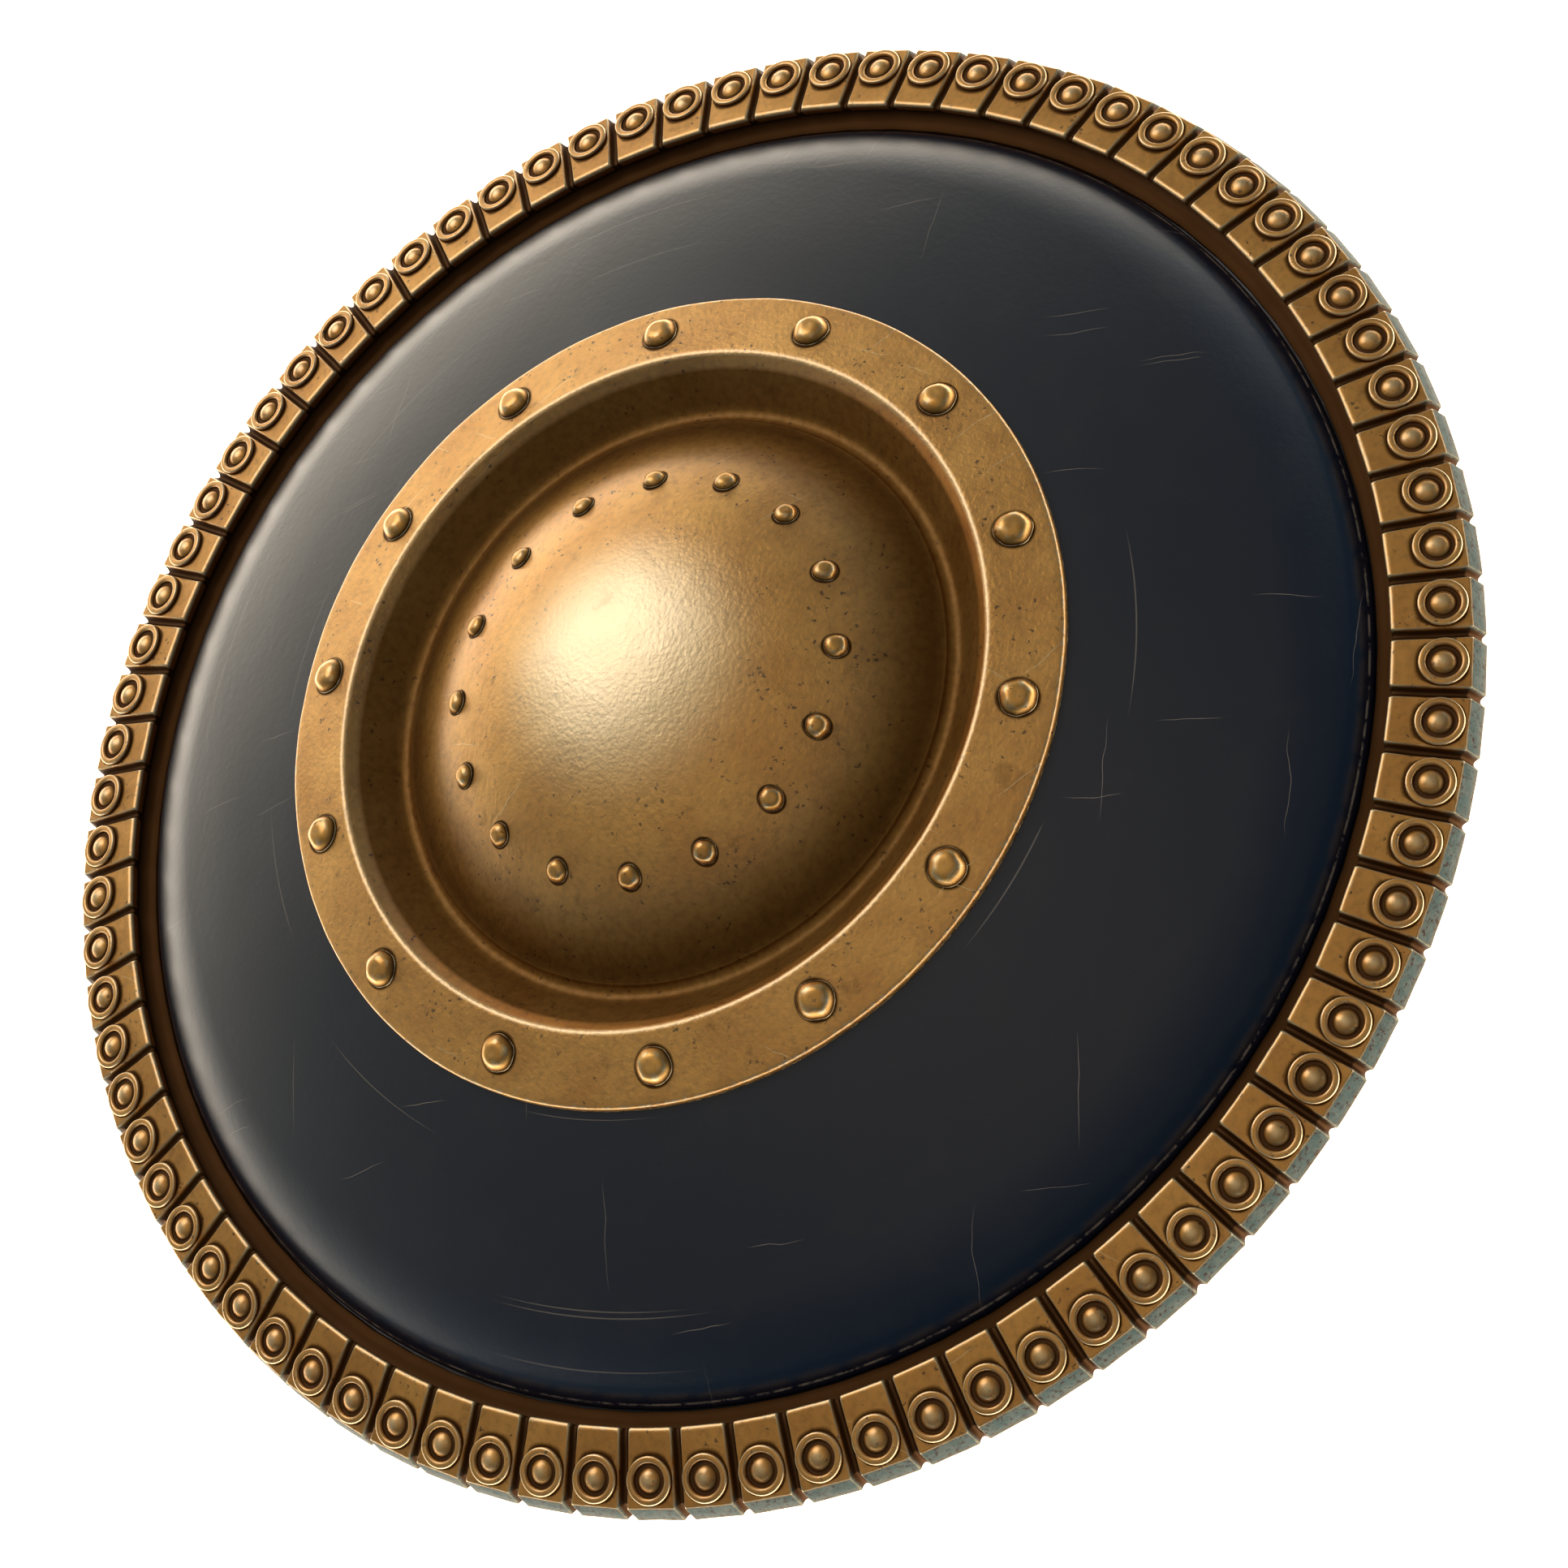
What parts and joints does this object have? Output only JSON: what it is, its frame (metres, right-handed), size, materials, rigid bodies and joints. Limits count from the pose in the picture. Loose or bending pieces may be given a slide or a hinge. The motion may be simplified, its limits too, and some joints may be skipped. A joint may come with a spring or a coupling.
{
  "type": "round shield",
  "caption": "Round shield with a dished dark body, a cast bronze rim of ring-and-dot blocks and a riveted, domed bronze boss, held by a bar grip across its hollow back",
  "frame": {"origin": "middle of the plane that the rim's back lies on", "axes": "+Z out of the shield's face, through the boss; the grip runs along X; +Y across the grip"},
  "size_m": [0.6002, 0.6002, 0.0944],
  "materials": {
    "bronze": "worn cast and hammered bronze with dark brown patina in the recesses",
    "dark_paint": "smooth charcoal paint on sheet metal, with fine scratches",
    "rivet_bronze": "polished by wear, dark at the foot",
    "grip_iron": "plain forged bar, blackened"
  },
  "bodies": {
    "root": {"rim": "bronze", "body": "dark_paint", "boss": "bronze", "flange_rivet_01": "rivet_bronze", "flange_rivet_02": "rivet_bronze", "flange_rivet_03": "rivet_bronze", "flange_rivet_04": "rivet_bronze", "flange_rivet_05": "rivet_bronze", "flange_rivet_06": "rivet_bronze", "flange_rivet_07": "rivet_bronze", "flange_rivet_08": "rivet_bronze", "flange_rivet_09": "rivet_bronze", "flange_rivet_10": "rivet_bronze", "flange_rivet_11": "rivet_bronze", "flange_rivet_12": "rivet_bronze", "flange_rivet_13": "rivet_bronze", "flange_rivet_14": "rivet_bronze", "dome_rivet_01": "rivet_bronze", "dome_rivet_02": "rivet_bronze", "dome_rivet_03": "rivet_bronze", "dome_rivet_04": "rivet_bronze", "dome_rivet_05": "rivet_bronze", "dome_rivet_06": "rivet_bronze", "dome_rivet_07": "rivet_bronze", "dome_rivet_08": "rivet_bronze", "dome_rivet_09": "rivet_bronze", "dome_rivet_10": "rivet_bronze", "dome_rivet_11": "rivet_bronze", "dome_rivet_12": "rivet_bronze", "dome_rivet_13": "rivet_bronze", "dome_rivet_14": "rivet_bronze", "dome_rivet_15": "rivet_bronze", "dome_rivet_16": "rivet_bronze", "grip": "grip_iron"}
  },
  "joints": []
}
